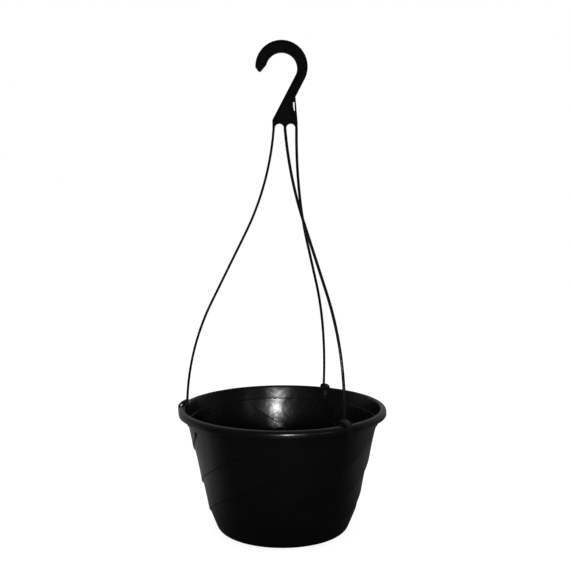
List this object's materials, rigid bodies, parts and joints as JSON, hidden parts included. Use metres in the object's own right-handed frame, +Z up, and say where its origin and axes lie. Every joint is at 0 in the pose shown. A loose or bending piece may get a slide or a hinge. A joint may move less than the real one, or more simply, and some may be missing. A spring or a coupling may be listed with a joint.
{
  "type": "hanging basket",
  "caption": "Black moulded plastic hanging basket with a rolled rim and swirled wall panels, hung from a flat open hook by springy legs that clip over the rim.",
  "frame": {"origin": "centre of the foot ring's lower face, on the basket's axis", "axes": "+Z up along the basket's axis; the flat hook lies in the XZ plane, its mouth opens towards -X"},
  "size_m": [0.2561, 0.254, 0.5922],
  "materials": {
    "basket_plastic": "gloss",
    "hanger_plastic": "satin"
  },
  "bodies": {
    "basket": {"basket": "basket_plastic"},
    "hook": {"hook": "hanger_plastic", "leg_left": "hanger_plastic", "leg_front": "hanger_plastic", "leg_rear": "hanger_plastic"},
    "clip_left": {"clip_left": "hanger_plastic"},
    "clip_front": {"clip_front": "hanger_plastic"},
    "clip_rear": {"clip_rear": "hanger_plastic"}
  },
  "joints": [
    {"name": "hook_turn", "type": "hinge", "parent": "basket", "child": "hook", "pos_m": [0, 0, 0.4882], "axis": [0, 0, 1], "range_deg": [-45, 45], "stiffness_Nm_per_rad": 0.03, "deforming": ["leg_left", "leg_front", "leg_rear"]},
    {"name": "clip_left_rock", "type": "hinge", "parent": "basket", "child": "clip_left", "pos_m": [-0.12293, 0.01184, 0.1484], "axis": [0.0958, 0.9954, 0], "range_deg": [-5, 2], "stiffness_Nm_per_rad": 0.01, "deforming": ["leg_left"]},
    {"name": "clip_front_rock", "type": "hinge", "parent": "basket", "child": "clip_front", "pos_m": [0.07277, -0.09979, 0.1484], "axis": [-0.808, -0.5892, 0], "range_deg": [-5, 2], "stiffness_Nm_per_rad": 0.01, "deforming": ["leg_front"]},
    {"name": "clip_rear_rock", "type": "hinge", "parent": "basket", "child": "clip_rear", "pos_m": [0.05741, 0.10935, 0.1484], "axis": [0.8854, -0.4648, 0], "range_deg": [-5, 2], "stiffness_Nm_per_rad": 0.01, "deforming": ["leg_rear"]}
  ]
}
